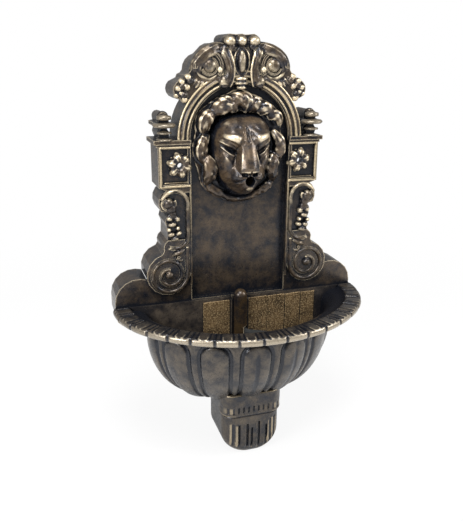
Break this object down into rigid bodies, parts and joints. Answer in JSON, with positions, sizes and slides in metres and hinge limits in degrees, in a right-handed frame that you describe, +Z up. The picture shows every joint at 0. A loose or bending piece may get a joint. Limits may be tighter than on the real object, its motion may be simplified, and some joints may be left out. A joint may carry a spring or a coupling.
{
  "type": "wall fountain",
  "caption": "Wall-hung garden fountain: relief panel with a lion mask spout, half-round basin with gadrooned rim, corbel foot, submersible pump and hose.",
  "frame": {"origin": "on the wall plane, midway between the two screw holes", "axes": "+Z up along the height, +Y into the wall, +X to the right of someone who faces the fountain"},
  "size_m": [0.41, 0.225, 0.65],
  "materials": {
    "bronze": "antique bronze paint, satin",
    "bronze_light": "antique bronze paint with rubbed highlights",
    "dark_plastic": "moulded",
    "grey_plastic": "moulded",
    "hose": "smooth tubing",
    "rubber": "matte",
    "brass": "dull",
    "steel": "plain",
    "ceramic": "ground",
    "rotor": "moulded"
  },
  "bodies": {
    "fountain": {"back_panel": "bronze", "lion_mask": "bronze_light", "mask_screws": "steel", "spout": "brass", "spout_nut": "brass", "elbow": "dark_plastic", "riser_hose": "hose", "hose_clips": "dark_plastic", "clip_screws": "steel", "basin": "bronze", "basin_screws": "steel", "corbel": "bronze", "drain_bush": "brass", "drain_gasket": "rubber", "drain_nut": "brass", "pump_body": "dark_plastic", "volute": "grey_plastic", "pump_shaft": "ceramic", "outlet_adaptor": "grey_plastic", "suction_feet": "rubber", "cable_gland": "rubber"},
    "rotor": {"impeller": "rotor"},
    "filter": {"pump_filter": "grey_plastic"},
    "dial": {"flow_dial": "grey_plastic"},
    "plug": {"drain_plug": "rubber"},
    "cover": {"hose_cover": "bronze"}
  },
  "joints": [
    {"name": "impeller_spin", "type": "hinge", "parent": "fountain", "child": "rotor", "pos_m": [0.05, -0.09, -0.332], "axis": [1, 0, 0], "continuous": true},
    {"name": "pump_filter_pull", "type": "slide", "parent": "fountain", "child": "filter", "axis": [1, 0, 0], "range_m": [0, 0.012]},
    {"name": "flow_dial_turn", "type": "hinge", "parent": "filter", "child": "dial", "pos_m": [0.075, -0.09, -0.332], "axis": [1, 0, 0], "range_deg": [0, 45]},
    {"name": "drain_plug_pull", "type": "slide", "parent": "fountain", "child": "plug", "axis": [0, 0, 1], "range_m": [0, 0.08]},
    {"name": "hose_cover_slide", "type": "slide", "parent": "fountain", "child": "cover", "axis": [0, 0, 1], "range_m": [0, 0.12]}
  ]
}
